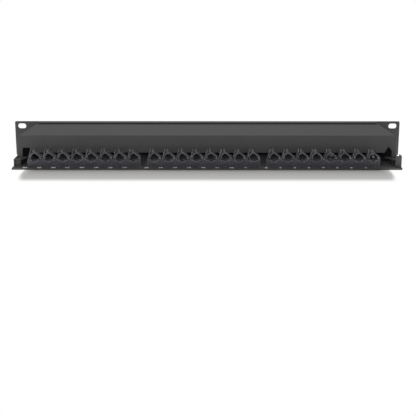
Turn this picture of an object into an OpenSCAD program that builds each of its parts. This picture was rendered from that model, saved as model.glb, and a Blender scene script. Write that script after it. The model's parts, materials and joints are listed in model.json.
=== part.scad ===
// Rack patch bay, one rack unit high, with a covered rear and a hinged cable clamp behind every port.
// Millimetres. X runs along the panel, +Y points out of the front, +Z is up.
// The origin is the centre of the four rack slots, on the rear face of the front panel.

/* [Rack panel] */
// Width of the front panel
panel_w = 482.6; // [470:0.2:490]
// Height of the front panel
panel_h = 43.6; // [43:0.1:44.4]
// Thickness of the front panel
panel_t = 1.5; // [1:0.1:3]
// Distance between slot centres across the panel
slot_span_x = 465.1; // [460:0.1:468]
// Distance between slot centres up the panel
slot_span_z = 31.75; // [30:0.05:33]
// Length of a rack slot, end to end
slot_len = 10.3; // [8:0.1:12]
// Height of a rack slot
slot_h = 6.4; // [5:0.1:7]

/* [Body] */
// Thickness of the folded sheet
sheet = 1.2; // [0.8:0.1:1.5]
// Width of the tray, inside a 450 mm rack opening
tray_w = 450; // [440:1:450]
// Depth of the tray behind the panel
tray_d = 95.3; // [90:0.1:120]
// Height of the tray floor's upper face above the panel's lower edge
floor_up = 7; // [6:0.1:9]
// Depth of the tray's down-turned rear lip
lip_h = 2; // [1.8:0.1:4]
// Height of the tray's side flanges above the floor
flange_h = 7.8; // [7:0.2:12]
// Height of the cover's upper face at the panel, above the panel's lower edge
cover_front_up = 42.3; // [40:0.1:42.3]
// Height of the cover's upper face at its rear edge, above the panel's lower edge
cover_up = 39.4; // [38:0.1:42]
// Width of the cover where it meets the panel
cover_front_w = 422; // [400:1:430]
// Width of the cover at its rear edge
cover_rear_w = 443; // [430:1:447]
// Depth of the cover's upper face
cover_d = 66; // [60:1:70]
// How far the rear wall leans out towards its lower edge
wall_lean = 6; // [2:0.5:7]
// Height of the rear wall's lower edge above the panel's lower edge
wall_up = 20; // [17:0.5:26]

/* [Ports and clamps] */
// Distance between neighbouring ports
pitch = 16.4; // [16:0.1:17]
// Distance between the middles of neighbouring groups
group_span = 138.6; // [136:0.2:142]
// How far the clamp row sits off the middle
clamp_shift = -3.6; // [-8:0.1:0]
// Diameter of the round cable passage
passage = 8.4; // [7:0.1:9]
// Height of the passage's axis above the tray floor
passage_up = 10.9; // [9.5:0.1:12]
// Depth of a clamp base along the cable
clamp_d = 10; // [8:0.5:12]
// Distance of the clamps' rear face behind the panel
clamp_back = 88; // [84:0.5:90]
// Radius of a hinge pin
pin_r = 0.75; // [0.6:0.05:1]

/* [Hidden] */
groups = ["left", "middle", "right"];
per_group = 8;
count = per_group * len(groups);

// Heights measured from the panel's lower edge become Z here.
low = -panel_h / 2;
floor_z = low + floor_up;
cover_z = low + cover_up;
cover_front_z = low + cover_front_up;
wall_z = low + wall_up;
lap = 0.01;

paint = [0.21, 0.21, 0.22];
nylon = [0.27, 0.27, 0.3];
steel = [0.62, 0.62, 0.64];
brass = [0.75, 0.62, 0.3];
laminate = [0.12, 0.32, 0.18];

function strap_name(n) = str("clamp_strap_", n < 10 ? "0" : "", n);
// Number 1 is at +X; numbers grow towards -X, group by group.
function group_of(n) = floor((count - n) / per_group);
function slot_in_group(n) = (count - n) % per_group;
function group_x(g) = (g - 1) * group_span;
function place(i) = (i - (per_group - 1) / 2) * pitch;
function clamp_x(n) = clamp_shift + group_x(group_of(n)) + place(slot_in_group(n));

// A flat outline in X and Z, pushed back from y_front towards -Y.
module along_y(y_front, depth) {
    translate([0, y_front, 0]) rotate([90, 0, 0]) linear_extrude(depth) children();
}

// A flat outline in Y and Z, pushed along +X from x_low.
module along_x(x_low, length) {
    translate([x_low, 0, 0]) rotate([90, 0, 90]) linear_extrude(length) children();
}

module rod_y(x, z, r, y_front, depth, sides = 48) {
    translate([x, y_front, z]) rotate([90, 0, 0]) cylinder(r = r, h = depth, $fn = sides);
}

module rod_z(x, y, r, z_low, height, sides = 40) {
    translate([x, y, z_low]) cylinder(r = r, h = height, $fn = sides);
}

module box(x0, x1, y0, y1, z0, z1) {
    translate([x0, y0, z0]) cube([x1 - x0, y1 - y0, z1 - z0]);
}

// ---------------------------------------------------------------- front panel
fold_w = 422;
fold_d = 9;
port_w = 14.8;
port_h = 14.8;
port_z = -2;
label_z = 13.5;
label_h = 7;
label_w = 130;
label_t = 0.5;

module rack_slot(x, z) {
    straight = slot_len - slot_h;
    for (side = [-1, 1])
        rod_y(x + side * straight / 2, z, slot_h / 2, 2 * panel_t, 4 * panel_t);
    box(x - straight / 2, x + straight / 2, -2 * panel_t, 2 * panel_t, z - slot_h / 2, z + slot_h / 2);
}

module front_panel() {
    color(paint) {
        difference() {
            box(-panel_w / 2, panel_w / 2, 0, panel_t, low, -low);
            for (sx = [-1, 1], sz = [-1, 1])
                rack_slot(sx * slot_span_x / 2, sz * slot_span_z / 2);
            for (g = [0:2], i = [0:per_group - 1]) {
                x = group_x(g) + place(i);
                box(x - port_w / 2, x + port_w / 2, -1, panel_t + 1, port_z - port_h / 2, port_z + port_h / 2);
            }
        }
        for (top = [0, 1])
            mirror([0, 0, top])
                box(-fold_w / 2, fold_w / 2, -fold_d, lap, low, low + sheet);
    }
}

module label_strips() {
    color([0.9, 0.9, 0.88])
        for (g = [0:2])
            box(group_x(g) - label_w / 2, group_x(g) + label_w / 2, panel_t, panel_t + label_t,
                label_z - label_h / 2, label_z + label_h / 2);
}

// ---------------------------------------------------------------- folded shells
corner_strip = 4.6;
relief_w = 8.5;
relief_h = 7.5;
square_relief_h = 5.5;
relief_apex = 3;
cut_deep = 20;
foot_w = 13;
foot_len = 14;
foot_y = [-12, -46];
foot_x = 194;
foot_hole_r = 1.7;

// The cover seen from above: narrow at the panel, wide at the rear.
module cover_plan(inset) {
    f = cover_front_w / 2 - inset;
    r = cover_rear_w / 2 - inset;
    polygon([[-f, 0], [f, 0], [r, -cover_d + inset], [r, -cover_d - 2 * wall_lean],
        [-r, -cover_d - 2 * wall_lean], [-r, -cover_d + inset]]);
}

// The cover seen from the side: a top falling slightly to the rear, a leaning rear wall, a low skirt.
module cover_side(inset, z_low) {
    slope = wall_lean / (cover_z - wall_z);
    foot = -cover_d - slope * (cover_z - z_low) + inset;
    polygon([[0, z_low], [0, cover_front_z - inset], [-cover_d + inset, cover_z - inset], [foot, z_low]]);
}

module cover_form(inset, z_low) {
    intersection() {
        along_x(-cover_rear_w / 2, cover_rear_w) cover_side(inset, z_low);
        translate([0, 0, z_low - 1]) linear_extrude(cover_front_z - z_low + 2) cover_plan(inset);
    }
}

module top_cover() {
    edge = cover_rear_w / 2 - corner_strip;
    color(paint) {
        difference() {
            cover_form(0, floor_z);
            cover_form(sheet, floor_z - 1);
            // the way for the cables, under the rear wall
            box(-edge, edge, -cover_d - cut_deep, -cover_d + 2, floor_z - 1, wall_z);
            // corner reliefs: square on one side, pointed on the other
            box(-edge, -edge + relief_w, -cover_d - cut_deep, -cover_d + 2, floor_z - 1,
                wall_z + square_relief_h);
            along_y(-cover_d + 2, cut_deep + 2)
                polygon([[edge, wall_z - lap], [edge, wall_z + 2], [edge - relief_apex, wall_z + relief_h],
                    [edge - relief_w, wall_z - lap]]);
        }
        difference() {
            for (side = [-1, 1], y = foot_y)
                cover_foot(side, y);
            for (side = [-1, 1], y = foot_y)
                rod_z(side * (foot_x + foot_w / 2), y, foot_hole_r, floor_z - 1, 2 + sheet);
        }
    }
}

module cover_foot(side, y) {
    wall_x = cover_front_w / 2 + (cover_rear_w - cover_front_w) / 2 * (-y - foot_len / 2) / cover_d - sheet / 2;
    x0 = side > 0 ? foot_x : -wall_x;
    x1 = side > 0 ? wall_x : -foot_x;
    box(x0, x1, y - foot_len / 2, y + foot_len / 2, floor_z, floor_z + sheet);
}

tab_w = 8;
tab_back = 83;
tall_tab_w = 7;
tall_tab_back = 89.5;
tall_tab_h = 13;
tall_tab_len = 9;
front_lip_in = 16;
front_lip_h = 5;
flange_front = 10;
gusset_reach = 16;
gusset_y = [-84, -76, -70];
clamp_hole_r = 1.6;
screwed = [1, 6];

// A corner gusset at the top of a side flange; it reaches in under the cover's rear wall.
module gusset(side) {
    half = tray_w / 2;
    translate([0, 0, floor_z + flange_h - sheet]) linear_extrude(sheet)
        polygon([[side * half, gusset_y[0]], [side * (half - tab_w), gusset_y[0]],
            [side * (half - gusset_reach), gusset_y[2]], [side * (half - tab_w - 1), gusset_y[2]],
            [side * (half - tab_w - 1), gusset_y[1]], [side * half, gusset_y[1]]]);
}

module bottom_tray() {
    half = tray_w / 2;
    z0 = floor_z - lap;
    color(paint)
        difference() {
            union() {
                box(-half, half, -tray_d, 0, floor_z - sheet, floor_z);
                box(-half, half, -tray_d, -tray_d + sheet, floor_z - lip_h, floor_z);
                box(-half + front_lip_in, half - front_lip_in, -sheet, 0, z0, floor_z + front_lip_h);
                // side flanges with their inward tabs
                box(-half, -half + sheet, gusset_y[0], -flange_front, z0, floor_z + flange_h);
                box(-half, -half + tab_w, -tab_back, -tab_back + sheet, z0, floor_z + flange_h);
                box(half - sheet, half, -tall_tab_back, -flange_front, z0, floor_z + flange_h);
                box(half - tall_tab_w, half, -tall_tab_back, -tall_tab_back + sheet, z0,
                    floor_z + tall_tab_h);
                box(half - sheet, half, -tall_tab_back, -tall_tab_back + tall_tab_len, z0,
                    floor_z + tall_tab_h);
                gusset(-1);
                gusset(1);
            }
            for (side = [-1, 1], y = foot_y)
                rod_z(side * (foot_x + foot_w / 2), y, foot_hole_r, floor_z - 3, 6);
            for (g = [0:2], i = screwed)
                rod_z(clamp_shift + group_x(g) + place(i), clamp_mid, clamp_hole_r, floor_z - 3, 6);
        }
}

// ---------------------------------------------------------------- boards, jacks and terminals
board_w = 133;
board_h = 31;
board_t = 1.6;
board_y = -19;
hole_in = 3.4;
board_mid_z = 2;
screw_z = 14.2;
board_hole_r = 1.6;

module circuit_board(g) {
    color(laminate)
        difference() {
            box(group_x(g) - board_w / 2, group_x(g) + board_w / 2, board_y - board_t, board_y,
                -board_h / 2 + board_mid_z, board_h / 2 + board_mid_z);
            for (side = [-1, 1])
                rod_y(board_hole_x(g, side), screw_z, board_hole_r, board_y + 1, board_t + 2);
        }
}

jack_w = 14.4;
jack_h = 14.4;
mouth_w = 12;
mouth_h = 9.4;
mouth_d = 13;
latch_w = 6.2;
mouth_rise = 0.9;
contact_pitch = 1.02;
contact_w = 0.4;
contact_t = 0.4;
contact_front = 3;

module jack(x) {
    difference() {
        box(x - jack_w / 2, x + jack_w / 2, board_y, panel_t, port_z - jack_h / 2, port_z + jack_h / 2);
        box(x - mouth_w / 2, x + mouth_w / 2, panel_t - mouth_d, panel_t + 1,
            port_z - mouth_h / 2 + mouth_rise, port_z + mouth_h / 2 + mouth_rise);
        box(x - latch_w / 2, x + latch_w / 2, panel_t - mouth_d, panel_t + 1,
            port_z - mouth_h / 2 - 1, port_z);
    }
}

module jack_block(g) {
    color(nylon)
        for (i = [0:per_group - 1])
            jack(group_x(g) + place(i));
}

module jack_contacts(g) {
    color(brass)
        for (i = [0:per_group - 1], c = [0:7]) {
            x = group_x(g) + place(i) + (c - 3.5) * contact_pitch;
            box(x - contact_w / 2, x + contact_w / 2, panel_t - mouth_d, panel_t - contact_front,
                port_z + mouth_h / 2 + 0.1, port_z + mouth_h / 2 + 0.1 + contact_t);
        }
}

terminal_w = 13;
terminal_h = 22;
terminal_d = 11;
terminal_mid_z = 0;
channel_w = 6;
channel_deep = 8;
wire_slot_x = 4.7;
wire_slot_w = 5;
wire_slot_h = 0.8;
wire_slot_deep = 5;
wire_slot_pitch = 6;
wire_slot_low = -9.4;

module wire_terminals(g) {
    color([0.85, 0.85, 0.83])
        for (i = [0:per_group - 1])
            terminal(group_x(g) + place(i));
}

module terminal(x) {
    back = board_y - board_t - terminal_d;
    low_end = terminal_mid_z - terminal_h / 2;
    difference() {
        box(x - terminal_w / 2, x + terminal_w / 2, back, board_y - board_t, low_end, low_end + terminal_h);
        box(x - channel_w / 2, x + channel_w / 2, back - 1, back + channel_deep, low_end - 1,
            low_end + terminal_h + 1);
        for (side = [-1, 1], c = [0:3])
            translate([x + side * wire_slot_x, 0, wire_slot_low + c * wire_slot_pitch])
                box(-wire_slot_w / 2, wire_slot_w / 2, back - 1, back + wire_slot_deep, 0, wire_slot_h);
    }
}

standoff_r = 2.6;
board_thread_r = 1.3;
board_screw_r = 1.28;
board_screw_deep = 7;
board_head_r = 2.7;
board_head_t = 1.8;
drive_w = 0.6;
drive_len = 4.4;
drive_deep = 0.8;

function board_hole_x(g, side) = group_x(g) + side * (board_w / 2 - hole_in);

module board_standoffs() {
    color(brass)
        for (g = [0:2], side = [-1, 1])
            difference() {
                rod_y(board_hole_x(g, side), screw_z, standoff_r, 0, -board_y, 6);
                rod_y(board_hole_x(g, side), screw_z, board_thread_r, board_y / 2, -board_y);
            }
}

module board_screws() {
    head_back = board_y - board_t - board_head_t;
    color(steel)
        for (g = [0:2], side = [-1, 1]) {
            x = board_hole_x(g, side);
            rod_y(x, screw_z, board_screw_r, board_y + board_screw_deep, board_screw_deep + board_t + lap);
            difference() {
                rod_y(x, screw_z, board_head_r, board_y - board_t, board_head_t);
                box(x - drive_len / 2, x + drive_len / 2, head_back - 1, head_back + drive_deep,
                    screw_z - drive_w / 2, screw_z + drive_w / 2);
            }
        }
}

// ---------------------------------------------------------------- cable clamps
passage_r = passage / 2;
passage_z = floor_z + passage_up;
hinge_x = 6.4;
hinge_z = -0.95;
ear_r = 1.6;
ear_w = 3.4;
knuckle_r = 1.5;
knuckle_gap = 0.3;
base_top = -2.4;
cell_low = -8.35;
clamp_mid = -clamp_back + clamp_d / 2;
pin_clear = 0.01;
strap_pin_clear = 0.05;
pin_recess = 0.6;
finger_len = 6.6;
collar_wide = 1.9;
collar_proud = 1.5;
ear_foot = 2.4;
clamp_thread_r = 1.45;
clamp_thread_deep = 5;

// One clamp cell in X and Z about its passage's axis: block, saddle and latch finger.
module cell_block() {
    difference() {
        translate([cell_low, -passage_up]) square([pitch, passage_up + base_top]);
        circle(r = passage_r, $fn = 64);
        translate([hinge_x, hinge_z]) circle(r = knuckle_r + knuckle_gap, $fn = 48);
    }
}

// The springy finger that holds the strap's free end.
module latch_finger() {
    polygon([[-8.3, base_top - 1], [-6.9, base_top - 1], [-5.1, 4.4], [-4.2, 5.5], [-4.3, 6.3],
        [-3.9, 8.3], [-4.3, 8.7], [-5.0, 8.5]]);
}

module collar() {
    intersection() {
        difference() {
            circle(r = passage_r + collar_wide, $fn = 64);
            circle(r = passage_r, $fn = 64);
        }
        translate([-8, -8]) square([16, 8 + base_top - 0.1]);
    }
}

module clamp_base(g) {
    color(nylon)
        difference() {
            union() {
                for (i = [0:per_group - 1])
                    translate([clamp_shift + group_x(g) + place(i), 0, passage_z]) {
                        along_y(-clamp_back + clamp_d, clamp_d) cell_block();
                        along_y(clamp_mid + ear_w / 2, ear_w) hinge_ear();
                        along_y(clamp_mid + finger_len / 2, finger_len) latch_finger();
                        along_y(-clamp_back + lap, collar_proud + lap) collar();
                    }
            }
            for (i = [0:per_group - 1]) {
                x = clamp_shift + group_x(g) + place(i);
                rod_y(x + hinge_x, passage_z + hinge_z, pin_r + pin_clear, -clamp_back + clamp_d + 1,
                    clamp_d + 2);
            }
            for (i = screwed)
                rod_z(clamp_shift + group_x(g) + place(i), clamp_mid, clamp_thread_r, floor_z - 1,
                    1 + clamp_thread_deep);
        }
}

module hinge_ear() {
    difference() {
        union() {
            translate([hinge_x, hinge_z]) circle(r = ear_r, $fn = 48);
            translate([hinge_x - ear_r, base_top - ear_foot]) square([2 * ear_r, ear_foot + hinge_z - base_top]);
        }
        circle(r = passage_r, $fn = 64);
    }
}

module hinge_pins(g) {
    color(steel)
        for (i = [0:per_group - 1])
            rod_y(clamp_shift + group_x(g) + place(i) + hinge_x, passage_z + hinge_z, pin_r,
                -clamp_back + clamp_d - pin_recess, clamp_d - 2 * pin_recess);
}

strap_d = 9.2;
band_t = 1.3;
crown = [-0.51, 6.3];
band_end = [6.78, 0.28];
arch_t = 1.5;
knob_r = 1.05;
knob_z = 7.7;

// The straight band in X and Z, from the crown down to the hinge.
module band_outline() {
    run = band_end - crown;
    side = [-run[1], run[0]] / norm(run) * band_t / 2;
    polygon([crown + side, band_end + side, band_end - side, crown - side]);
}

// The arch round the passage, from the crown to the nose behind the latch finger.
module arch_outline() {
    intersection() {
        difference() {
            circle(r = passage_r + arch_t, $fn = 64);
            circle(r = passage_r + 0.1, $fn = 64);
        }
        polygon([[0, 0], [0.9, 9], [-9, 9], [-9, -3.1]]);
    }
}

// Strap: band, arch, knuckle and thumb knob, in one piece.
module strap_solid() {
    far = clamp_mid + strap_d / 2;
    along_y(far, strap_d) band_outline();
    along_y(far, strap_d) arch_outline();
    rod_y(hinge_x, hinge_z, knuckle_r, far, strap_d);
    rod_y(-knob_r, knob_z, knob_r, far, strap_d, 32);
    box(-2 * knob_r, 0, far - strap_d, far, 5, knob_z);
}

module clamp_strap(n) {
    color(nylon)
        translate([clamp_x(n), 0, passage_z])
            difference() {
                strap_solid();
                // room for the base's ear between the two knuckles, and the hinge bore
                rod_y(hinge_x, hinge_z, ear_r + knuckle_gap, clamp_mid + ear_w / 2 + knuckle_gap,
                    ear_w + 2 * knuckle_gap);
                rod_y(hinge_x, hinge_z, pin_r + strap_pin_clear, clamp_mid + strap_d, 2 * strap_d);
            }
}

// ---------------------------------------------------------------- fasteners and ground
screw_r = 1.4;
head_r = 2.8;
clamp_screw_len = 4.6;
cover_screw_len = 5.2;
nut_r = 3.1;
nut_t = 2.4;
nut_clear = 0.02;

// A screw from below: its head sits against the underside of the tray.
module screw_up(x, y, length) {
    rod_z(x, y, screw_r, floor_z - sheet - lap, length + sheet);
    rod_z(x, y, head_r, floor_z - lip_h, lip_h - sheet);
}

module clamp_screws() {
    color(steel)
        for (g = [0:2], i = screwed)
            screw_up(clamp_shift + group_x(g) + place(i), clamp_mid, clamp_screw_len);
}

module cover_screws() {
    color(steel)
        for (side = [-1, 1], y = foot_y)
            screw_up(side * (foot_x + foot_w / 2), y, cover_screw_len);
}

module cover_nuts() {
    color(steel)
        for (side = [-1, 1], y = foot_y)
            difference() {
                rod_z(side * (foot_x + foot_w / 2), y, nut_r, floor_z + sheet, nut_t, 6);
                rod_z(side * (foot_x + foot_w / 2), y, screw_r + nut_clear, floor_z, 2 * nut_t);
            }
}

ground_x = 150;
ground_y = -50;
stud_r = 1.95;
stud_h = 9;
stud_foot_r = 3.4;
stud_foot_t = 0.8;
washer_r = 4.4;
washer_t = 0.8;
big_nut_r = 4;
big_nut_t = 3.2;
stud_clear = 0.03;

module ground_stud() {
    color(steel) {
        rod_z(ground_x, ground_y, stud_foot_r, floor_z, stud_foot_t);
        rod_z(ground_x, ground_y, stud_r, floor_z, stud_h);
    }
}

module ground_nuts() {
    seat = floor_z + stud_foot_t;
    color(steel)
        difference() {
            union() {
                rod_z(ground_x, ground_y, washer_r, seat, washer_t);
                rod_z(ground_x, ground_y, big_nut_r, seat + washer_t - lap, big_nut_t, 6);
            }
            rod_z(ground_x, ground_y, stud_r + stud_clear, floor_z, stud_h);
        }
}

front_panel();
top_cover();
bottom_tray();
for (g = [0:2]) {
    circuit_board(g);
    jack_block(g);
    jack_contacts(g);
    wire_terminals(g);
    clamp_base(g);
    hinge_pins(g);
}
for (n = [1:count])
    clamp_strap(n);
label_strips();
board_standoffs();
board_screws();
clamp_screws();
cover_screws();
cover_nuts();
ground_stud();
ground_nuts();
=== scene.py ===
# %% [markdown]
# # A rack patch bay, seen from behind
# This notebook dresses a ready-made frame. The frame holds every solid of the patch bay at its real size, so nothing
# here is moved or stretched. What the cells add is what the eye looks for: rounded folds, printed numbers, gripping
# ribs, springy gold wires, and finishes that look like powder coat, nylon and zinc.

# %% Load the frame
import json
import math
import random

import bmesh
import bpy
from mathutils import Matrix, Vector


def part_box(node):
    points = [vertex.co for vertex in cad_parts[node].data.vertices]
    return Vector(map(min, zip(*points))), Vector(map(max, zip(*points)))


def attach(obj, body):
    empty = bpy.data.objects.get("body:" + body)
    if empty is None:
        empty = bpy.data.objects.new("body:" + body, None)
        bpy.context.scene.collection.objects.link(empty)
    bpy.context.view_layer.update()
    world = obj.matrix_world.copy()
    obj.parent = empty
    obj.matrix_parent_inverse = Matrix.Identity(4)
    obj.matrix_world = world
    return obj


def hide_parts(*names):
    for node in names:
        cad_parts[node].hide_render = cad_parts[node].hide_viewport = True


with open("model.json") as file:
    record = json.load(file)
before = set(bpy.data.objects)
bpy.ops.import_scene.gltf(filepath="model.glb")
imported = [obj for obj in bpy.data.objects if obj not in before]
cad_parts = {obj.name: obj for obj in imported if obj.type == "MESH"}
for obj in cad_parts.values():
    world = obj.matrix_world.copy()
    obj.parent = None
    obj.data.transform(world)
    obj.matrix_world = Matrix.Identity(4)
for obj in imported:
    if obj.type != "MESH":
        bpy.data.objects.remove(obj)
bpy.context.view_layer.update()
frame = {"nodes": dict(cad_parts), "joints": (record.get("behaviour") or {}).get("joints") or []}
MM = 0.001
GROUPS = ("left", "middle", "right")
PER_GROUP = 8
COUNT = PER_GROUP * len(GROUPS)
print("nodes in the frame:", len(frame["nodes"]))

# %% [markdown]
# Places come from the frame. A node's box gives its two corners, and a hinge's place is in its joint. The other
# places could be typed in again, but values worked out from the frame stay right when the frame changes. The tray's
# floor, the clamps' pitch and the middle of each cable passage are worked out here once.

# %% Places taken from the frame
panel_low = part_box("front_panel")[0]
tray_low, tray_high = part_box("bottom_tray")
base_low, base_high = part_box("clamp_base_middle")
FLOOR_Z = base_low[2]
PITCH = (base_high[0] - base_low[0]) / PER_GROUP
HINGES = {j["child"]: Vector(j["pos_m"]) for j in frame["joints"]}
HINGE_FROM_PASSAGE = Vector((6.4, 0, -0.95)) * MM
PASSAGE_R = 4.2 * MM


def strap_body(number):
    return f"strap_{number:02d}"


def passage(number):
    """The middle of one cable passage."""
    return HINGES[strap_body(number)] - HINGE_FROM_PASSAGE


print("clamp pitch in mm:", round(PITCH / MM, 2))

# %% [markdown]
# ## Camera
# A long lens from behind and above shows the rear of the panel with little perspective. The camera looks straight at
# the panel, and a small downward shift of the lens leaves white floor below it without tilting the view.

# %% Camera
LENS = 71.4
ELEVATION = math.radians(12.55)
AZIMUTH = math.radians(0.14)
DISTANCE = 1041.5 * MM
AIM = Vector((0.97, 0, -8.8)) * MM
SENSOR_WIDTH = 36
SHIFT_DOWN = -0.151
NEAREST = 10 * MM


def add_camera():
    data = bpy.data.cameras.new("product_camera")
    data.lens = LENS
    data.sensor_width = SENSOR_WIDTH
    data.shift_y = SHIFT_DOWN
    data.clip_start = NEAREST
    camera = bpy.data.objects.new("product_camera", data)
    bpy.context.scene.collection.objects.link(camera)
    level = math.cos(ELEVATION)
    back = Vector((math.sin(AZIMUTH) * level, -math.cos(AZIMUTH) * level, math.sin(ELEVATION)))
    camera.location = AIM + back * DISTANCE
    camera.rotation_euler = (math.pi / 2 - ELEVATION, 0, AZIMUTH)
    bpy.context.scene.camera = camera


add_camera()
print("camera stands", round(DISTANCE / MM), "mm from its aim")

# %% [markdown]
# ## Finishes
# Effects that several finishes share are node groups, built once: edge wear, fine grain and dust. Each could be
# painted by hand on an unwrapped image, but a group of nodes fits every piece at once and needs no unwrapping. A few
# helpers make the groups short to write.

# %% Node group helpers
def new_group(name, inputs, outputs):
    group = bpy.data.node_groups.new(name, "ShaderNodeTree")
    for label, kind, default in inputs:
        socket = group.interface.new_socket(label, in_out="INPUT", socket_type=kind)
        socket.default_value = default
    for label, kind in outputs:
        group.interface.new_socket(label, in_out="OUTPUT", socket_type=kind)
    source = group.nodes.new("NodeGroupInput")
    sink = group.nodes.new("NodeGroupOutput")
    return group, source, sink


def add(tree, kind, **settings):
    node = tree.nodes.new(kind)
    for key, value in settings.items():
        setattr(node, key, value)
    return node


def math_node(tree, operation, a, b=None, clamp=False):
    node = add(tree, "ShaderNodeMath", operation=operation, use_clamp=clamp)
    for slot, value in enumerate((a, b)):
        if value is None:
            continue
        if isinstance(value, (int, float)):
            node.inputs[slot].default_value = value
        else:
            tree.links.new(value, node.inputs[slot])
    return node.outputs[0]

# %% [markdown]
# Paint and plastic rub pale first at their edges. On the nylon the pale edge is set wide and strong, and there it is
# also a painted highlight where light catches the moulded edges. The dot product of the plain normal and a rounded
# one is 1 on a flat face and less at an edge. Noise then breaks the line up, since no edge wears evenly.

# %% Edge wear
EDGE_CONTRAST = 5.0
PATCH_LEVEL = 0.38
PATCH_CONTRAST = 4.0


# The mask is edge wear, and on the nylon it is also a painted highlight along the edges.
def make_edge_wear():
    group, source, sink = new_group(
        "edge wear",
        [("Width", "NodeSocketFloat", 0.4 * MM), ("Amount", "NodeSocketFloat", 0.5),
         ("Patchiness", "NodeSocketFloat", 260.0)],
        [("Mask", "NodeSocketFloat")],
    )
    link = group.links.new
    bevel = add(group, "ShaderNodeBevel", samples=4)
    link(source.outputs["Width"], bevel.inputs["Radius"])
    geometry = add(group, "ShaderNodeNewGeometry")
    dot = add(group, "ShaderNodeVectorMath", operation="DOT_PRODUCT")
    link(bevel.outputs["Normal"], dot.inputs[0])
    link(geometry.outputs["Normal"], dot.inputs[1])
    edge = math_node(group, "SUBTRACT", 1.0, dot.outputs["Value"])
    edge = math_node(group, "MULTIPLY", edge, EDGE_CONTRAST, clamp=True)
    place = add(group, "ShaderNodeTexCoord")
    noise = add(group, "ShaderNodeTexNoise")
    noise.inputs["Detail"].default_value = 4
    link(place.outputs["Object"], noise.inputs["Vector"])
    link(source.outputs["Patchiness"], noise.inputs["Scale"])
    patch = math_node(group, "SUBTRACT", noise.outputs["Fac"], PATCH_LEVEL)
    patch = math_node(group, "MULTIPLY", patch, PATCH_CONTRAST, clamp=True)
    worn_and_lit = math_node(group, "MULTIPLY", edge, patch)
    worn_and_lit = math_node(group, "MULTIPLY", worn_and_lit, source.outputs["Amount"], clamp=True)
    link(worn_and_lit, sink.inputs["Mask"])
    return group


EDGE_WEAR_AND_HIGHLIGHT = make_edge_wear()
print("shared effect:", EDGE_WEAR_AND_HIGHLIGHT.name)

# %% [markdown]
# Powder coat has a skin like fine orange peel, and moulded nylon a soft etched one. A noise and a cell pattern added
# together give a height for the bump. A second, much larger noise gives slow drifts of tone.

# %% Fine grain
def make_fine_grain():
    group, source, sink = new_group(
        "fine grain",
        [("Grain Size", "NodeSocketFloat", 2200.0), ("Cloud Size", "NodeSocketFloat", 22.0)],
        [("Height", "NodeSocketFloat"), ("Cloud", "NodeSocketFloat")],
    )
    link = group.links.new
    place = add(group, "ShaderNodeTexCoord")
    fine = add(group, "ShaderNodeTexNoise")
    fine.inputs["Detail"].default_value = 3
    cells = add(group, "ShaderNodeTexVoronoi", feature="SMOOTH_F1")
    cloud = add(group, "ShaderNodeTexNoise")
    cloud.inputs["Detail"].default_value = 5
    for texture, size in ((fine, "Grain Size"), (cells, "Grain Size"), (cloud, "Cloud Size")):
        link(place.outputs["Object"], texture.inputs["Vector"])
        link(source.outputs[size], texture.inputs["Scale"])
    height = math_node(group, "ADD", fine.outputs["Fac"], cells.outputs["Distance"])
    link(height, sink.inputs["Height"])
    link(cloud.outputs["Fac"], sink.inputs["Cloud"])
    return group


FINE_GRAIN = make_fine_grain()
print("shared effect:", FINE_GRAIN.name)

# %% [markdown]
# Dust lies on faces that look up. The upward part of the normal is multiplied by sharp small noise, so level faces
# catch specks and walls stay clean. It could be scattered as tiny solids, but a mask costs nothing.

# %% Dust
SPECK_LEVEL = 0.45
SPECK_CONTRAST = 3.0
DUST_TONE = (0.42, 0.41, 0.39, 1)


def make_dust():
    group, source, sink = new_group(
        "dust",
        [("Amount", "NodeSocketFloat", 0.2), ("Speck Size", "NodeSocketFloat", 900.0)],
        [("Mask", "NodeSocketFloat")],
    )
    link = group.links.new
    geometry = add(group, "ShaderNodeNewGeometry")
    split = add(group, "ShaderNodeSeparateXYZ")
    link(geometry.outputs["Normal"], split.inputs["Vector"])
    up = math_node(group, "MULTIPLY", split.outputs["Z"], 1.0, clamp=True)
    place = add(group, "ShaderNodeTexCoord")
    specks = add(group, "ShaderNodeTexNoise")
    specks.inputs["Detail"].default_value = 6
    link(place.outputs["Object"], specks.inputs["Vector"])
    link(source.outputs["Speck Size"], specks.inputs["Scale"])
    sharp = math_node(group, "SUBTRACT", specks.outputs["Fac"], SPECK_LEVEL)
    sharp = math_node(group, "MULTIPLY", sharp, SPECK_CONTRAST, clamp=True)
    lying = math_node(group, "MULTIPLY", up, sharp)
    lying = math_node(group, "MULTIPLY", lying, source.outputs["Amount"], clamp=True)
    link(lying, sink.inputs["Mask"])
    return group


DUST = make_dust()
print("shared effect:", DUST.name)

# %% [markdown]
# Every finish is built by one recipe: a base colour that drifts a little between two tones, a roughness that drifts
# with it, grain as bump, pale dust on top and a lighter tone where edges rub, which on the nylon is also a painted
# highlight. What changes from one finish to the next is only the numbers, so they stand together and can be compared.
# Building each finish by hand would give the same look with ten times the lines.

# %% The recipe for a finish
COAT_ROUGHNESS = 0.25


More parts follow.
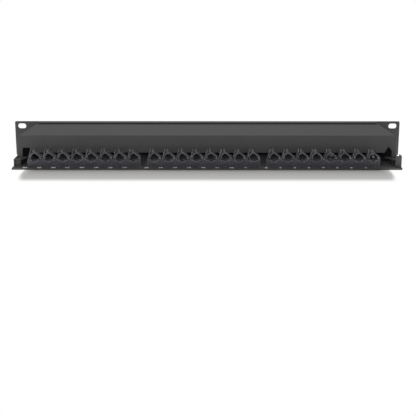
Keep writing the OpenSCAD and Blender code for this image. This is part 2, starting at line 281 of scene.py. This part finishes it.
def finish(name, tones, rough, metal=0.0, specular=0.5, grain=2200.0, bump=0.1, height=0.02 * MM, cloud=22.0,
           wear_and_highlight=0.3, edge=0.4 * MM, worn_and_lit=(0.3, 0.3, 0.3), dust=0.1, coat=0.0):
    material = bpy.data.materials.new(name)
    material.use_nodes = True
    tree = material.node_tree
    link = tree.links.new
    shader = tree.nodes["Principled BSDF"]
    shader.inputs["Metallic"].default_value = metal
    shader.inputs["Specular IOR Level"].default_value = specular
    shader.inputs["Coat Weight"].default_value = coat
    shader.inputs["Coat Roughness"].default_value = COAT_ROUGHNESS

    grains = add(tree, "ShaderNodeGroup", node_tree=FINE_GRAIN)
    grains.inputs["Grain Size"].default_value = grain
    grains.inputs["Cloud Size"].default_value = cloud
    tone = add(tree, "ShaderNodeMix", data_type="RGBA")
    tone.inputs["A"].default_value = (*tones[0], 1)
    tone.inputs["B"].default_value = (*tones[1], 1)
    link(grains.outputs["Cloud"], tone.inputs["Factor"])

    # Pale edges: edge wear, and on the nylon also a painted highlight.
    rubbed_and_lit = add(tree, "ShaderNodeGroup", node_tree=EDGE_WEAR_AND_HIGHLIGHT)
    rubbed_and_lit.inputs["Amount"].default_value = wear_and_highlight
    rubbed_and_lit.inputs["Width"].default_value = edge
    rim = add(tree, "ShaderNodeMix", data_type="RGBA")
    rim.inputs["B"].default_value = (*worn_and_lit, 1)
    link(rubbed_and_lit.outputs["Mask"], rim.inputs["Factor"])
    link(tone.outputs["Result"], rim.inputs["A"])

    lying = add(tree, "ShaderNodeGroup", node_tree=DUST)
    lying.inputs["Amount"].default_value = dust
    dusty = add(tree, "ShaderNodeMix", data_type="RGBA")
    dusty.inputs["B"].default_value = DUST_TONE
    link(lying.outputs["Mask"], dusty.inputs["Factor"])
    link(rim.outputs["Result"], dusty.inputs["A"])
    link(dusty.outputs["Result"], shader.inputs["Base Color"])

    drift = add(tree, "ShaderNodeMapRange")
    drift.inputs["To Min"].default_value = rough[0]
    drift.inputs["To Max"].default_value = rough[1]
    link(grains.outputs["Cloud"], drift.inputs["Value"])
    link(drift.outputs["Result"], shader.inputs["Roughness"])

    relief = add(tree, "ShaderNodeBump")
    relief.inputs["Strength"].default_value = bump
    relief.inputs["Distance"].default_value = height
    link(grains.outputs["Height"], relief.inputs["Height"])
    link(relief.outputs["Normal"], shader.inputs["Normal"])
    return material


# %% The finishes of the patch bay
POWDER_COAT = finish("powder coat", ((0.058, 0.0575, 0.057), (0.072, 0.0715, 0.071)), (0.52, 0.64), specular=0.16,
                     grain=1500.0, bump=0.25, height=0.03 * MM, wear_and_highlight=0.35, worn_and_lit=(0.16, 0.16, 0.165), dust=0.05)
# The nylon's wide, strong pale edges are edge wear and also a painted highlight where light catches the moulded
# edges.
NYLON = finish("moulded nylon", ((0.040, 0.041, 0.052), (0.054, 0.055, 0.068)), (0.34, 0.46), specular=0.45,
               grain=2600.0, bump=0.2, cloud=90.0, wear_and_highlight=1.0, edge=0.8 * MM, worn_and_lit=(0.40, 0.40, 0.41), dust=0.08)
JACK_PLASTIC = finish("jack plastic", ((0.014, 0.014, 0.015), (0.022, 0.022, 0.024)), (0.3, 0.42),
                      wear_and_highlight=0.2, worn_and_lit=(0.08, 0.08, 0.08), dust=0.04)
SHIELD = finish("tinned shield", ((0.62, 0.62, 0.60), (0.72, 0.72, 0.70)), (0.22, 0.34), metal=1.0,
                grain=900.0, bump=0.08, cloud=90.0, wear_and_highlight=0.1, worn_and_lit=(0.8, 0.8, 0.8), dust=0.0)
GOLD = finish("gold plate", ((0.83, 0.60, 0.24), (0.90, 0.68, 0.32)), (0.16, 0.24), metal=1.0,
              bump=0.05, wear_and_highlight=0.0, dust=0.0)
BRASS = finish("brass", ((0.70, 0.52, 0.24), (0.80, 0.62, 0.32)), (0.24, 0.36), metal=1.0,
               bump=0.08, wear_and_highlight=0.1, worn_and_lit=(0.9, 0.8, 0.5), dust=0.02)
ZINC = finish("zinc plate", ((0.52, 0.53, 0.55), (0.66, 0.67, 0.69)), (0.24, 0.4), metal=1.0,
              grain=1400.0, bump=0.1, cloud=120.0, wear_and_highlight=0.2, worn_and_lit=(0.8, 0.8, 0.82), dust=0.02)
DULL_STEEL = finish("dull steel", ((0.16, 0.16, 0.17), (0.24, 0.24, 0.25)), (0.4, 0.5), metal=1.0,
                    bump=0.1, cloud=120.0, wear_and_highlight=0.2, worn_and_lit=(0.5, 0.5, 0.5), dust=0.0)
LAMINATE = finish("solder mask", ((0.012, 0.060, 0.026), (0.018, 0.085, 0.036)), (0.28, 0.36),
                  grain=700.0, bump=0.12, wear_and_highlight=0.3, worn_and_lit=(0.4, 0.36, 0.2), dust=0.05, coat=0.3)
TERMINAL = finish("terminal plastic", ((0.66, 0.65, 0.60), (0.74, 0.73, 0.68)), (0.36, 0.5),
                  wear_and_highlight=0.2, worn_and_lit=(0.85, 0.85, 0.82), dust=0.06)
CARD = finish("label card", ((0.74, 0.74, 0.72), (0.80, 0.80, 0.78)), (0.5, 0.6),
              grain=3200.0, bump=0.1, wear_and_highlight=0.1, worn_and_lit=(0.9, 0.9, 0.9), dust=0.02)
INK = finish("white ink", ((0.86, 0.86, 0.84), (0.92, 0.92, 0.90)), (0.5, 0.6), bump=0.1, wear_and_highlight=0.0, dust=0.0)
DARK_INK = finish("dark ink", ((0.02, 0.02, 0.02), (0.03, 0.03, 0.03)), (0.5, 0.6), bump=0.1, wear_and_highlight=0.0, dust=0.0)
print("finishes:", len(bpy.data.materials))

# %% [markdown]
# ## Rounded copies
# A CAD solid has knife-sharp edges, and no real sheet or moulding does. Each solid is copied, its loose triangles are
# merged and its flat faces joined, and every sharp edge is bevelled by a fraction of a millimetre. The copy then
# stands for the CAD node. Flat faces stay flat shaded, and bevels and round walls are smooth.

# %% Piece and copy helpers
SHARP = math.radians(30)
FLAT = math.radians(1)
MERGE = 0.002 * MM
CORNER_NEAR = 0.01 * MM
CORNER_LONGEST = 4 * MM


def new_piece(name, bm, material, body, replaced=()):
    mesh = bpy.data.meshes.new(name)
    bm.to_mesh(mesh)
    bm.free()
    mesh.materials.append(material)
    piece = bpy.data.objects.new(name, mesh)
    bpy.context.scene.collection.objects.link(piece)
    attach(piece, body)
    if replaced:
        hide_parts(*replaced)
    return piece


def merged_copy(node):
    bm = bmesh.new()
    bm.from_mesh(frame["nodes"][node].data)
    bmesh.ops.remove_doubles(bm, verts=bm.verts, dist=MERGE)
    bmesh.ops.dissolve_limit(bm, angle_limit=FLAT / 2, verts=bm.verts, edges=bm.edges)
    return bm


def round_edges(bm, width, segments=2):
    for face in bm.faces:
        angles = [edge.calc_face_angle(0) for edge in face.edges]
        face.smooth = any(FLAT < angle < SHARP for angle in angles)
    sharp = [edge for edge in bm.edges if edge.is_manifold and edge.calc_face_angle(0) > SHARP]
    done = bmesh.ops.bevel(bm, geom=sharp, offset=width, offset_type="OFFSET", segments=segments, profile=0.5,
                           affect="EDGES", clamp_overlap=True, material=-1)
    for face in done["faces"]:
        face.smooth = True
    return bm


def round_corners(bm, node, radius):
    """Rounds the short edges at the four outer corners of a sheet that faces Y."""
    low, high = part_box(node)
    outer = [edge for edge in bm.edges if all(
        min(abs(v.co[axis] - low[axis]), abs(v.co[axis] - high[axis])) < CORNER_NEAR
        for v in edge.verts for axis in (0, 2)) and edge.calc_length() < CORNER_LONGEST]
    bmesh.ops.bevel(bm, geom=outer, offset=radius, offset_type="OFFSET", segments=6, profile=0.5,
                    affect="EDGES", clamp_overlap=True, material=-1)


def rounded_node(node, material, width=0.2 * MM, segments=2, corners=0.0):
    bm = merged_copy(node)
    if corners:
        round_corners(bm, node, corners)
    round_edges(bm, width, segments)
    return new_piece(node + "_rounded", bm, material, "chassis", (node,))


# %% [markdown]
# ## Sheet metal
# The panel, the cover and the tray are folded from thin sheet. A real fold has a small outer radius and a cut edge is
# only just broken, so one modest bevel serves both. The panel's four corners are rounded first, as they are punched
# before the sheet is painted.

# %% Panel, cover and tray
FOLD_R = 0.28 * MM
PANEL_CORNER_R = 1.6 * MM
rounded_node("front_panel", POWDER_COAT, width=FOLD_R, segments=3, corners=PANEL_CORNER_R)
for node in ("top_cover", "bottom_tray"):
    rounded_node(node, POWDER_COAT, width=FOLD_R, segments=3)
print("sheet metal rounded")

# %% [markdown]
# ## Cable clamps
# A strap is moulded nylon: a straight band, an arch and a thumb knob. Inside the arch run small ribs that bite into
# the cable's jacket, and the knob has ridges for the thumb. One strap is made in full, and the other 23 are copies
# moved to their own hinges, so each still rides on its own body.

# %% Straps
MOULD_R = 0.3 * MM
RIB_R = 0.22 * MM
RIB_SINK = 0.1 * MM
STRAP_RIB_SINK = 0.12 * MM
RIB_END = 0.4 * MM
RIB_ANGLES = (115, 132, 149, 166, 183)
RIDGE_SIDE = -2.1 * MM
RIDGE_HEIGHTS = (6.3, 7.0, 7.7)


def add_rod(bm, start, end, radius, segments=10):
    """A closed round rod between two points."""
    axis = end - start
    turn = axis.to_track_quat("Z", "Y").to_matrix().to_4x4()
    place = Matrix.Translation((start + end) / 2) @ turn
    made = bmesh.ops.create_cone(bm, cap_ends=True, cap_tris=False, segments=segments, radius1=radius,
                                 radius2=radius, depth=axis.length, matrix=place)
    for vert in made["verts"]:
        for face in vert.link_faces:
            face.smooth = len(face.verts) == 4
    return made["verts"]


def on_passage(number, degrees, outwards):
    """A spot on the wall of a cable passage, at y = 0."""
    middle = passage(number)
    angle = math.radians(degrees)
    reach = Vector((math.cos(angle), 0, math.sin(angle))) * (PASSAGE_R + outwards)
    return Vector((middle.x, 0, middle.z)) + reach


def strap_mesh(node, number):
    bm = round_edges(merged_copy(node), MOULD_R)
    low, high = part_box(node)
    middle = passage(number)
    near = Vector((0, low[1] + RIB_END, 0))
    far = Vector((0, high[1] - RIB_END, 0))
    spots = [on_passage(number, degrees, STRAP_RIB_SINK) for degrees in RIB_ANGLES]
    spots += [Vector((middle.x + RIDGE_SIDE, 0, middle.z + height * MM)) for height in RIDGE_HEIGHTS]
    for spot in spots:
        add_rod(bm, spot + near, spot + far, RIB_R)
    return bm


first = strap_mesh("clamp_strap_01", 1)
master = bpy.data.meshes.new("strap_master")
first.to_mesh(master)
first.free()
for number in range(1, COUNT + 1):
    bm = bmesh.new()
    bm.from_mesh(master)
    bmesh.ops.translate(bm, verts=bm.verts, vec=passage(number) - passage(1))
    node = f"clamp_strap_{number:02d}"
    new_piece(node + "_moulded", bm, NYLON, strap_body(number), (node,))
bpy.data.meshes.remove(master)
print("straps:", COUNT)

# %% [markdown]
# The base strip holds the saddles. Its rear face carries a thin moulded rim under each passage, and small ribs lie
# across each saddle so that a cable can't slide.

# %% Clamp bases
SADDLE_RIB_ANGLES = (235, 252, 270, 288, 305)
SADDLE_REAR_END = 1.4 * MM
SADDLE_FRONT_END = 0.5 * MM


def saddle_ribs(bm, number, low, high):
    rear = Vector((0, low[1] + SADDLE_REAR_END, 0))
    front = Vector((0, high[1] - SADDLE_FRONT_END, 0))
    for degrees in SADDLE_RIB_ANGLES:
        spot = on_passage(number, degrees, RIB_SINK)
        add_rod(bm, spot + rear, spot + front, RIB_R, 8)


for index, group in enumerate(GROUPS):
    node = "clamp_base_" + group
    low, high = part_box(node)
    bm = round_edges(merged_copy(node), MOULD_R)
    for step in range(PER_GROUP):
        saddle_ribs(bm, COUNT - index * PER_GROUP - step, low, high)
    new_piece(node + "_moulded", bm, NYLON, "chassis", (node,))
print("clamp bases:", len(GROUPS))

# %% [markdown]
# ## Printed numbers
# The positions are numbered on the tray in white ink, 24 at one end and 1 at the other, as a screen print. Digits
# could be an image on the paint, but a thin mesh stays crisp from any distance. Text is made as a curve, turned into
# a mesh, and only then laid in its place, just proud of the paint.

# %% Numbers
INK_T = 0.04 * MM


def text_mesh(words, size, place, bold=0.0):
    curve = bpy.data.curves.new("words", "FONT")
    curve.body = words
    curve.size = size
    curve.align_x = "CENTER"
    curve.align_y = "CENTER"
    curve.extrude = INK_T
    curve.offset = bold * size
    curve.resolution_u = 3
    holder = bpy.data.objects.new("words", curve)
    bpy.context.scene.collection.objects.link(holder)
    bpy.context.view_layer.update()
    mesh = bpy.data.meshes.new_from_object(holder.evaluated_get(bpy.context.evaluated_depsgraph_get()))
    bpy.data.objects.remove(holder)
    bm = bmesh.new()
    bm.from_mesh(mesh)
    bpy.data.meshes.remove(mesh)
    bmesh.ops.remove_doubles(bm, verts=bm.verts, dist=0.001 * MM)
    bmesh.ops.transform(bm, matrix=place, verts=bm.verts)
    return bm


def gather(parts):
    """Joins several bmeshes into one."""
    whole = bmesh.new()
    for part in parts:
        mesh = bpy.data.meshes.new("part")
        part.to_mesh(mesh)
        part.free()
        whole.from_mesh(mesh)
        bpy.data.meshes.remove(mesh)
    return whole


NUMBER_SIZE = 5.0 * MM
NUMBER_BACK = 3.2 * MM
NUMBER_SIDE = (-10.6 * MM, -9.1 * MM, -9.1 * MM)
NUMBER_BOLD = 0.05  # bolder strokes overlap inside the 9, and part of its face is lost


def tray_numbers():
    parts = []
    for number in range(1, COUNT + 1):
        side = NUMBER_SIDE[(COUNT - number) // PER_GROUP]
        spot = Vector((passage(number).x + side, base_low[1] - NUMBER_BACK, FLOOR_Z))
        parts.append(text_mesh(str(number), NUMBER_SIZE, Matrix.Translation(spot), NUMBER_BOLD))
    new_piece("tray_numbers", gather(parts), INK, "chassis")


tray_numbers()
print("numbers printed:", COUNT)

# %% [markdown]
# ## The front
# Each port is a shielded jack. The shield is stamped from tinned sheet, so it starts as a box, loses its back, gets
# an inset rim at the mouth, and is given its thickness. The contact wires are gold, bent down into the mouth.

# %% Jack housings and shields
JACK_W = 14.4 * MM
SHIELD_T = 0.14 * MM
SHIELD_AHEAD = 0.1 * MM
SHIELD_RIM = 1.05 * MM


def port_middle(box_low, box_high, step):
    width = (box_high[0] - box_low[0] - JACK_W) / (PER_GROUP - 1)
    return box_low[0] + JACK_W / 2 + step * width


def shield_shell(x, low, high):
    bm = bmesh.new()
    size = Vector((JACK_W + SHIELD_T, high[1] - low[1], JACK_W + SHIELD_T))
    place = Matrix.Translation((x, (low[1] + high[1]) / 2 + SHIELD_AHEAD, (low[2] + high[2]) / 2))
    bmesh.ops.create_cube(bm, size=1, matrix=place @ Matrix.Diagonal((*size, 1)))
    back = [f for f in bm.faces if f.normal.y < -0.9]
    bmesh.ops.delete(bm, geom=back, context="FACES")
    mouth = [f for f in bm.faces if f.normal.y > 0.9]
    bmesh.ops.inset_region(bm, faces=mouth, thickness=SHIELD_RIM, use_even_offset=True)
    bmesh.ops.delete(bm, geom=mouth, context="FACES")
    bmesh.ops.recalc_face_normals(bm, faces=bm.faces)
    bmesh.ops.solidify(bm, geom=bm.faces, thickness=SHIELD_T)
    return bm

# %% [markdown]
# In each jack eight gold wires run along the roof of the mouth and spring back down into it. A curve with a bevel
# would do as well, but short rods joined by small balls keep the mesh closed and light.

# %% Contact wires
WIRES = 8
WIRE_R = 0.23 * MM
WIRE_PITCH = 1.02 * MM


def contact_wire(x, low, high):
    """One springy wire: along the roof of the mouth, then bent back down into it."""
    roof = high[2] - 0.2 * MM
    points = [Vector((x, low[1], roof)), Vector((x, high[1] - 0.6 * MM, roof)),
              Vector((x, high[1] - 0.2 * MM, roof - 0.5 * MM)), Vector((x, low[1] + 2.6 * MM, roof - 3.4 * MM))]
    bm = bmesh.new()
    for start, end in zip(points, points[1:]):
        add_rod(bm, start, end, WIRE_R, 6)
    for bend in points[1:-1]:
        ball = bmesh.ops.create_icosphere(bm, subdivisions=1, radius=WIRE_R, matrix=Matrix.Translation(bend))
        for vert in ball["verts"]:
            for face in vert.link_faces:
                face.smooth = True
    return bm


for group in GROUPS:
    node = "jack_block_" + group
    low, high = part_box(node)
    rounded_node(node, JACK_PLASTIC, width=0.25 * MM)
    middles = [port_middle(low, high, step) for step in range(PER_GROUP)]
    shells = [shield_shell(x, low, high) for x in middles]
    new_piece("jack_shields_" + group, gather(shells), SHIELD, "chassis")
    wire_low, wire_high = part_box("jack_contacts_" + group)
    wires = [contact_wire(x + (n - (WIRES - 1) / 2) * WIRE_PITCH, wire_low, wire_high)
             for x in middles for n in range(WIRES)]
    new_piece("contact_wires_" + group, gather(wires), GOLD, "chassis", ("jack_contacts_" + group,))
print("jacks with shields and wires:", COUNT)

# %% [markdown]
# Above the ports, label strips carry the same numbers in dark ink. They read from the front, so each word is stood up
# and then turned to face forwards.

# %% Label strips
LABEL_SIZE = 3.6 * MM
rounded_node("label_strips", CARD, width=0.1 * MM)


def label_numbers():
    low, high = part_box("label_strips")
    parts = []
    for index, group in enumerate(GROUPS):
        jack_low, jack_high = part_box("jack_block_" + group)
        for step in range(PER_GROUP):
            spot = Vector((port_middle(jack_low, jack_high, step), high[1], (low[2] + high[2]) / 2))
            turn = Matrix.Rotation(math.pi, 4, "Z") @ Matrix.Rotation(math.pi / 2, 4, "X")
            number = COUNT - index * PER_GROUP - step
            parts.append(text_mesh(str(number), LABEL_SIZE, Matrix.Translation(spot) @ turn))
    new_piece("label_numbers", gather(parts), DARK_INK, "chassis")


label_numbers()
print("label strips done")

# %% [markdown]
# ## Inside
# The boards carry the wire terminals. Each terminal is a comb of slots, and in every slot stands a forked metal blade
# that cuts through a wire's insulation. Small parts sit on the board beside them.

# %% Small blocks
def blocks(places, size, chamfer):
    """Equal boxes at the given places, every edge cut by a small chamfer."""
    bm = bmesh.new()
    for place in places:
        bmesh.ops.create_cube(bm, size=1, matrix=Matrix.Translation(place) @ Matrix.Diagonal((*size, 1)))
    bmesh.ops.bevel(bm, geom=list(bm.edges), offset=chamfer, offset_type="OFFSET", segments=1, profile=0.5,
                    affect="EDGES", clamp_overlap=True, material=-1)
    return bm

# %% [markdown]
# A blade is forked: two prongs stand close together, and a wire pushed between them has its insulation cut. The
# prongs of one terminal are eight pairs of the same small block, so one helper makes them all.

# %% Terminal blades
TERMINAL_W = 13 * MM
BLADE_SIZE = (0.9 * MM, 5.5 * MM, 0.3 * MM)
BLADE_HEIGHTS = [height * MM for height in (-9, -3, 3, 9)]
BLADE_SIDE = 4.7 * MM
BLADE_DEEP = 3 * MM
PRONG_SIDE = 0.75 * MM


def terminal_blades(low, high, step):
    middle = low[0] + TERMINAL_W / 2 + step * (high[0] - low[0] - TERMINAL_W) / (PER_GROUP - 1)
    places = [(middle + side * BLADE_SIDE + prong * PRONG_SIDE, low[1] + BLADE_DEEP, height)
              for side in (-1, 1) for height in BLADE_HEIGHTS for prong in (-1, 1)]
    return blocks(places, BLADE_SIZE, 0.06 * MM)

# %% [markdown]
# Small capacitors and resistors are soldered along the upper and lower edges of a board. Their places are drawn at
# random from a seed of the group's own, so that they look unplanned but are the same every time.

# %% Board parts
CHIPS = 26
CHIP_SIZE = (1.6 * MM, 0.6 * MM, 0.8 * MM)
CHIP_PROUD = 0.25 * MM
CHIP_IN = 1.2 * MM
CHIP_END = 4 * MM


def board_parts(low, high, seed):
    """A few small chip parts soldered on the board's rear face."""
    picker = random.Random(seed)
    places = []
    for _ in range(CHIPS):
        x = picker.uniform(low[0] + CHIP_END, high[0] - CHIP_END)
        z = picker.choice((low[2] + CHIP_IN, high[2] - CHIP_IN))
        places.append((x, low[1] - CHIP_PROUD, z))
    return blocks(places, CHIP_SIZE, 0.08 * MM)


for index, group in enumerate(GROUPS):
    rounded_node("circuit_board_" + group, LAMINATE, width=0.08 * MM, segments=1)
    rounded_node("wire_terminals_" + group, TERMINAL, width=0.12 * MM, segments=1)
    low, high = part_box("wire_terminals_" + group)
    blades = [terminal_blades(low, high, step) for step in range(PER_GROUP)]
    new_piece("terminal_blades_" + group, gather(blades), ZINC, "chassis")
    low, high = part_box("circuit_board_" + group)
    new_piece("board_parts_" + group, board_parts(low, high, index), TERMINAL, "chassis")
print("boards and terminals done")

# %% [markdown]
# ## Screws, pins and nuts
# A screw head is turned from one profile: half of its outline is drawn as a chain of points and spun round the axis.
# The socket in the head is a hexagon, made by pulling the round recess out to six corners. A screw could also be cut
# from a cylinder, but a profile gives the domed head and the thread in one stroke.

# %% Turned shapes
def spun(profile, place, steps=24):
    """Spins a chain of (radius, height) points round Z into a closed solid."""
    bm = bmesh.new()
    verts = [bm.verts.new((radius, 0, height)) for radius, height in profile]
    edges = [bm.edges.new(pair) for pair in zip(verts, verts[1:])]
    bmesh.ops.spin(bm, geom=verts + edges, cent=(0, 0, 0), axis=(0, 0, 1), angle=2 * math.pi, steps=steps,
                   use_merge=True, use_duplicate=False)
    bmesh.ops.remove_doubles(bm, verts=bm.verts, dist=MERGE)
    bmesh.ops.recalc_face_normals(bm, faces=bm.faces)
    for face in bm.faces:
        face.smooth = True
    bmesh.ops.transform(bm, matrix=place, verts=bm.verts)
    return bm


def hex_pull(bm, centre, reach, height_test):
    """Moves the verts of a round recess out to a hexagon."""
    for vert in bm.verts:
        offset = Vector((vert.co.x - centre.x, vert.co.y - centre.y))
        if height_test(vert.co.z) and 0.3 * MM < offset.length < reach:
            angle = math.atan2(offset.y, offset.x) % (math.pi / 3) - math.pi / 6
            pull = math.cos(math.pi / 6) / math.cos(angle)
            vert.co.x = centre.x + offset.x * pull
            vert.co.y = centre.y + offset.y * pull

# %% [markdown]
# The screws under the tray hold the clamps and the cover. A profile runs from the middle of the socket over the domed
# head and down a zigzag of thread. The thread's turns are rings, not a true spiral, which nobody can tell at this
# size.

# %% Pan screws
SCREW_R = 1.4 * MM
HEAD_R = 2.8 * MM
SOCKET_R = 1.15 * MM
SOCKET_MOUTH_R = 1.25 * MM
SOCKET_SHARE = 0.6
THREAD_PITCH = 0.5 * MM
THREAD_DEPTH = 0.18 * MM


def screw_below(x, y, head_z, head_h, length):
    """A pan screw driven up from under the tray, its head down at head_z."""
    deep = head_h * SOCKET_SHARE
    profile = [(0, deep), (SOCKET_R, deep), (SOCKET_R, 0.05 * MM), (SOCKET_MOUTH_R, 0), (HEAD_R - 0.7 * MM, 0),
               (HEAD_R - 0.2 * MM, 0.3 * MM), (HEAD_R, 0.7 * MM), (HEAD_R, head_h), (SCREW_R, head_h)]
    for turn in range(int(length / THREAD_PITCH)):
        z = head_h + turn * THREAD_PITCH
        profile += [(SCREW_R, z + 0.12 * MM), (SCREW_R - THREAD_DEPTH, z + 0.37 * MM)]
    profile += [(SCREW_R - 0.3 * MM, head_h + length), (0, head_h + length)]
    bm = spun(profile, Matrix.Translation((x, y, head_z)))
    hex_pull(bm, Vector((x, y)), 1.2 * MM, lambda z: z < head_z + deep + 0.01 * MM)
    return bm

# %% [markdown]
# One node holds all the screws of a kind. Its separate solids are found by walking from vertex to vertex, and each
# one's box gives the place and the length of a turned screw.

# %% Screws in their places
SHEET_T = 1.2 * MM


def screw_places(node):
    """The two corners of the box of each separate solid of a node, from left to right."""
    bm = bmesh.new()
    bm.from_mesh(frame["nodes"][node].data)
    bmesh.ops.remove_doubles(bm, verts=bm.verts, dist=MERGE)
    left = set(bm.verts)
    places = []
    while left:
        reached = [left.pop()]
        for vert in reached:
            for edge in vert.link_edges:
                other = edge.other_vert(vert)
                if other in left:
                    left.discard(other)
                    reached.append(other)
        corners = [[min(v.co[k] for v in reached), max(v.co[k] for v in reached)] for k in range(3)]
        places.append((Vector([c[0] for c in corners]), Vector([c[1] for c in corners])))
    bm.free()
    return sorted(places, key=lambda pair: tuple(pair[0]))


def tray_screws(node):
    parts = []
    for low, high in screw_places(node):
        middle = (low + high) / 2
        head_h = FLOOR_Z - SHEET_T - low.z
        parts.append(screw_below(middle.x, middle.y, low.z, head_h, high.z - low.z - head_h))
    new_piece(node + "_turned", gather(parts), ZINC, "chassis", (node,))


for node in ("clamp_screws", "cover_screws"):
    tray_screws(node)
for node in ("board_screws", "cover_nuts", "ground_stud", "ground_nuts"):
    rounded_node(node, ZINC, width=0.15 * MM)
for group in GROUPS:
    rounded_node("hinge_pins_" + group, DULL_STEEL, width=0.12 * MM)
rounded_node("board_standoffs", BRASS, width=0.15 * MM)
print("fasteners done")

# %% [markdown]
# ## Floor and light
# The panel stands on its lower edge and on the tray's rear lip, which ends a little higher, so the floor leans by the
# same few degrees in the object's own frame. Near the object the floor is a dark grey card. It is a painted shadow
# that adds to the soft shadow the lamps cast, and it lightens a little outwards. Farther out it turns smoothly into
# pure white light, so it has no visible edge anywhere. That light shines on the object more strongly than the camera
# sees it, which brightens the upper rear wall more than the foot of it.

# %% Floor
FLOOR_HALF = 4.0
FLOOR_GAP = 0.02 * MM
# The card's dark grey tone is a painted shadow around the object.
FLOOR_SHADOW_TONE = (0.345, 0.34, 0.33, 1)
FLOOR_GLOW = 1.7
PAINTED_SHADOW_REACH = 60 * MM
PAINTED_SHADOW_LIFT = 0.32
FADE_FROM = 40 * MM
FADE_TO = 71 * MM
SIDE_IN = 27 * MM
SIDE_STRETCH = 5.0


def floor_material():
    material = bpy.data.materials.new("studio white with painted shadow")
    material.use_nodes = True
    tree = material.node_tree
    card = tree.nodes["Principled BSDF"]
    card.inputs["Base Color"].default_value = FLOOR_SHADOW_TONE
    card.inputs["Roughness"].default_value = 0.6
    middle = (tray_low + tray_high) / 2
    half = (tray_high - tray_low) / 2 - Vector((SIDE_IN, 0, 0))
    place = add(tree, "ShaderNodeNewGeometry")
    split = add(tree, "ShaderNodeSeparateXYZ")
    tree.links.new(place.outputs["Position"], split.inputs["Vector"])
    outside = add(tree, "ShaderNodeCombineXYZ")
    for axis, letter in enumerate("XY"):
        offset = math_node(tree, "SUBTRACT", split.outputs[letter], middle[axis])
        offset = math_node(tree, "ABSOLUTE", offset)
        offset = math_node(tree, "SUBTRACT", offset, half[axis])
        offset = math_node(tree, "MULTIPLY", offset, (SIDE_STRETCH, 1.0)[axis])
        tree.links.new(math_node(tree, "MAXIMUM", offset, 0.0), outside.inputs[letter])
    length = add(tree, "ShaderNodeVectorMath", operation="LENGTH")
    tree.links.new(outside.outputs["Vector"], length.inputs[0])
    # Painted shadow: close to the tray the dark card shows, and with distance its share falls as the white glow takes
    # over.
    lift = add(tree, "ShaderNodeMapRange")
    lift.inputs["From Max"].default_value = PAINTED_SHADOW_REACH
    lift.inputs["To Max"].default_value = PAINTED_SHADOW_LIFT
    fade = add(tree, "ShaderNodeMapRange", interpolation_type="SMOOTHSTEP")
    fade.inputs["From Min"].default_value = FADE_FROM
    fade.inputs["From Max"].default_value = FADE_TO
    for ramp in (lift, fade):
        tree.links.new(length.outputs["Value"], ramp.inputs["Value"])
    amount = math_node(tree, "MAXIMUM", lift.outputs["Result"], fade.outputs["Result"])
    glow = add(tree, "ShaderNodeEmission")
    path = add(tree, "ShaderNodeLightPath")
    seen = math_node(tree, "MULTIPLY", path.outputs["Is Camera Ray"], 1.0 - FLOOR_GLOW)
    tree.links.new(math_node(tree, "ADD", seen, FLOOR_GLOW), glow.inputs["Strength"])
    both = add(tree, "ShaderNodeMixShader")
    tree.links.new(amount, both.inputs["Fac"])
    tree.links.new(card.outputs["BSDF"], both.inputs[1])
    tree.links.new(glow.outputs["Emission"], both.inputs[2])
    tree.links.new(both.outputs["Shader"], tree.nodes["Material Output"].inputs["Surface"])
    return material


def add_floor():
    front = Vector((0, panel_low[1], panel_low[2]))
    back = Vector((0, tray_low[1], tray_low[2]))
    along = (back - front).normalized()
    lean = math.atan2(along.z, -along.y)
    bm = bmesh.new()
    bmesh.ops.create_grid(bm, x_segments=8, y_segments=8, size=FLOOR_HALF)
    place = Matrix.Translation(front - Vector((0, 0, FLOOR_GAP))) @ Matrix.Rotation(-lean, 4, "X")
    bmesh.ops.transform(bm, matrix=place, verts=bm.verts)
    mesh = bpy.data.meshes.new("studio_floor")
    bm.to_mesh(mesh)
    bm.free()
    floor = bpy.data.objects.new("studio_floor", mesh)
    bpy.context.scene.collection.objects.link(floor)
    mesh.materials.append(floor_material())
    print("floor leans by", round(math.degrees(lean), 2), "degrees")


add_floor()

# %% [markdown]
# The key lamp stands above and beyond the panel, so the rear wall turns away from it and its soft shadow falls
# towards the camera. A low fill lamp and a small front lamp on the camera's side pick out the clamps, and a very
# faint lamp under the cover keeps the hollow behind them from going black. The room around is dim near the horizon
# and bright overhead. Only the camera sees it as pure white.

# %% Light
HORIZON = 0.12
ZENITH = 0.6
KEY_POWER = 8
FILL_POWER = 1.0
FRONT_POWER = 3.5
INSIDE_POWER = 0.012


def add_area(name, place, aim, size, power):
    data = bpy.data.lights.new(name, "AREA")
    data.shape = "RECTANGLE"
    data.size, data.size_y = size
    data.energy = power
    lamp = bpy.data.objects.new(name, data)
    bpy.context.scene.collection.objects.link(lamp)
    lamp.location = place
    lamp.rotation_euler = (Vector(place) - Vector(aim)).to_track_quat("Z", "Y").to_euler()


def add_world():
    world = bpy.data.worlds.new("white room")
    bpy.context.scene.world = world
    world.use_nodes = True
    tree = world.node_tree
    place = add(tree, "ShaderNodeTexCoord")
    split = add(tree, "ShaderNodeSeparateXYZ")
    tree.links.new(place.outputs["Generated"], split.inputs["Vector"])
    rise = add(tree, "ShaderNodeMapRange")
    rise.inputs["From Min"].default_value = 0.0
    rise.inputs["To Min"].default_value = HORIZON
    rise.inputs["To Max"].default_value = ZENITH
    tree.links.new(split.outputs["Z"], rise.inputs["Value"])
    path = add(tree, "ShaderNodeLightPath")
    strength = math_node(tree, "MAXIMUM", rise.outputs["Result"], path.outputs["Is Camera Ray"])
    tree.links.new(strength, tree.nodes["Background"].inputs["Strength"])
    tree.nodes["Background"].inputs["Color"].default_value = (1, 1, 1, 1)


add_world()
add_area("key", (0.0, 0.75, 1.1), (0, 0, 0), (1.4, 0.5), KEY_POWER)
add_area("fill", (0.0, -1.25, 0.19), (0, 0, 0), (1.2, 0.24), FILL_POWER)
add_area("front", (-0.5, -1.0, 1.0), (0, 0, 0), (0.25, 0.25), FRONT_POWER)
add_area("inside", (0.0, -0.05, 0.012), (0, -0.0499, -0.02), (0.4, 0.02), INSIDE_POWER)
bpy.context.scene.view_settings.view_transform = "Standard"
print("lights set")
